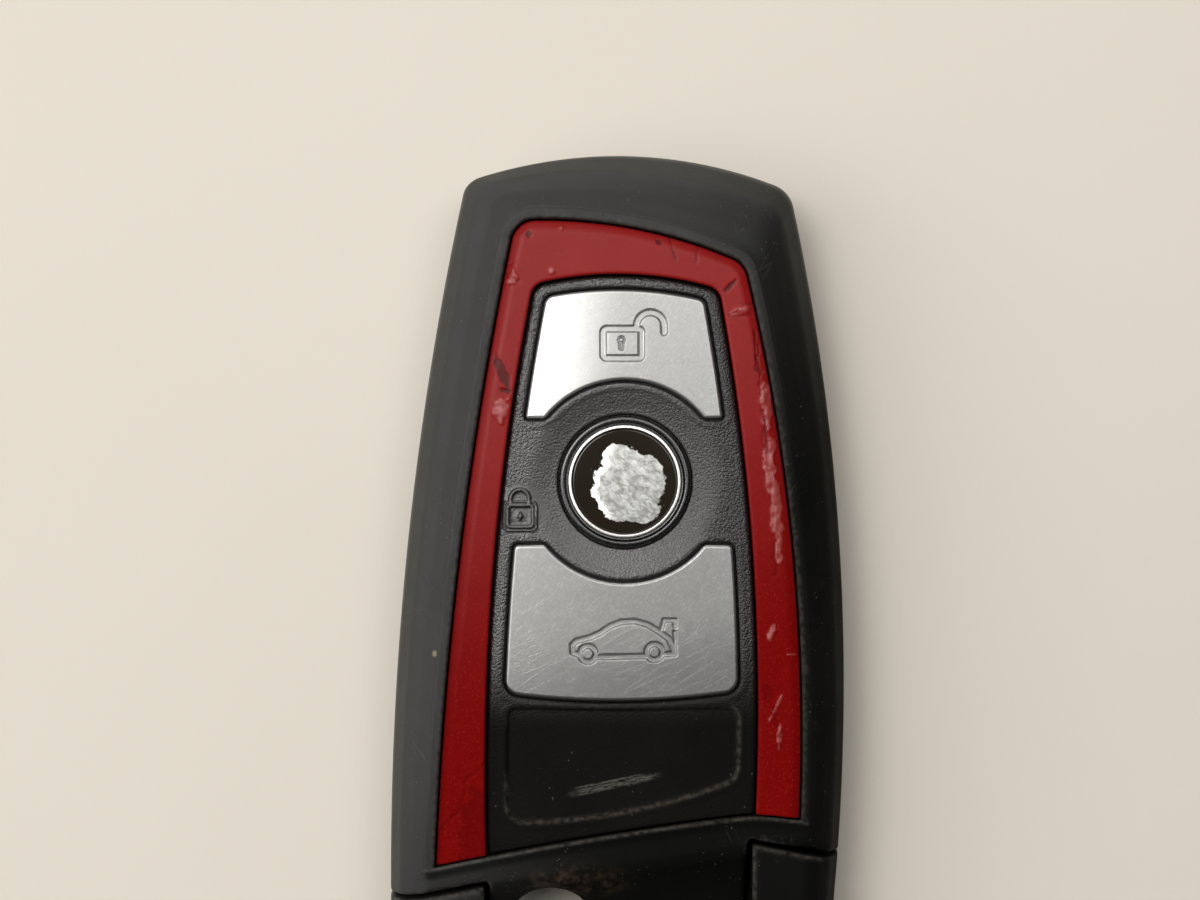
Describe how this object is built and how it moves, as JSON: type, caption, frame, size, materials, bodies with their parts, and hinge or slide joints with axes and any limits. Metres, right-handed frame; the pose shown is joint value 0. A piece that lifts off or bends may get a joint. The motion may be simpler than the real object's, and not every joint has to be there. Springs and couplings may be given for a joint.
{
  "type": "car key fob",
  "caption": "Slim remote car key with press buttons, a trim insert, a slide-out emergency key that carries the key ring, and a round battery cover.",
  "frame": {"origin": "middle of the flat back plane, under the middle of the fob's outline", "axes": "+Z out of the front face with the buttons, +Y towards the rounded end, -Y towards the key ring end, +X to the right seen from the front"},
  "size_m": [0.0402, 0.082, 0.0144],
  "materials": {
    "soft_touch_black": "soft-touch",
    "red_lacquer": "worn lacquer",
    "grained_black": "fine grain",
    "satin_silver": "satin",
    "moulded_black": "moulded",
    "dark_chrome": "satin",
    "bright_chrome": "polished",
    "badge_silver": "worn foil",
    "gloss_black": "gloss",
    "grey_silicone": "silicone",
    "moulded_white": "moulded",
    "board_green": "solder mask",
    "steel": "satin",
    "capacitor_tan": "moulded",
    "ferrite": "sintered",
    "copper": "bare copper",
    "seal_rubber": "rubber",
    "nickel_silver": "machined"
  },
  "bodies": {
    "housing": {"front_bezel": "soft_touch_black", "rear_shell": "soft_touch_black", "trim_insert": "red_lacquer", "button_panel": "grained_black", "keypad_mat": "grey_silicone", "unlock_switch": "moulded_black", "lock_switch": "moulded_black", "trunk_switch": "moulded_black", "circuit_board": "board_green", "controller_chip": "moulded_black", "radio_chip": "moulded_black", "crystal": "steel", "capacitor": "capacitor_tan", "antenna_coil": "ferrite", "loop_antenna": "copper", "transponder": "moulded_black", "cell_can": "steel", "cell_gasket": "moulded_white", "cell_cap": "steel", "contact_positive": "steel", "contact_negative": "steel", "key_clip": "steel"},
    "unlock_button": {"unlock_button": "satin_silver", "unlock_carrier": "moulded_black", "unlock_pad": "grey_silicone", "unlock_plunger": "moulded_white"},
    "lock_button": {"lock_button": "dark_chrome", "badge_ring": "bright_chrome", "badge_foil": "badge_silver", "badge_lens": "gloss_black", "lock_pad": "grey_silicone", "lock_plunger": "moulded_white"},
    "trunk_button": {"trunk_button": "satin_silver", "trunk_carrier": "moulded_black", "trunk_pad": "grey_silicone", "trunk_plunger": "moulded_white"},
    "emergency_key": {"key_bow": "soft_touch_black", "key_blade": "nickel_silver", "key_ring_liner": "bright_chrome"},
    "battery_cover": {"battery_cover": "moulded_black", "battery_cover_seal": "seal_rubber"}
  },
  "joints": [
    {"name": "unlock_press", "type": "slide", "parent": "housing", "child": "unlock_button", "axis": [0, 0, -1], "range_m": [0, 0.00045], "stiffness_N_per_m": 5000, "springref_m": -0.0004},
    {"name": "lock_press", "type": "slide", "parent": "housing", "child": "lock_button", "axis": [0, 0, -1], "range_m": [0, 0.00045], "stiffness_N_per_m": 5000, "springref_m": -0.0004},
    {"name": "trunk_press", "type": "slide", "parent": "housing", "child": "trunk_button", "axis": [0, 0, -1], "range_m": [0, 0.00045], "stiffness_N_per_m": 5000, "springref_m": -0.0004},
    {"name": "emergency_key_slide", "type": "slide", "parent": "housing", "child": "emergency_key", "axis": [0, -1, 0], "range_m": [0, 0.06]},
    {"name": "battery_cover_lift", "type": "slide", "parent": "housing", "child": "battery_cover", "axis": [0, 0, -1], "range_m": [0, 0.012]}
  ]
}
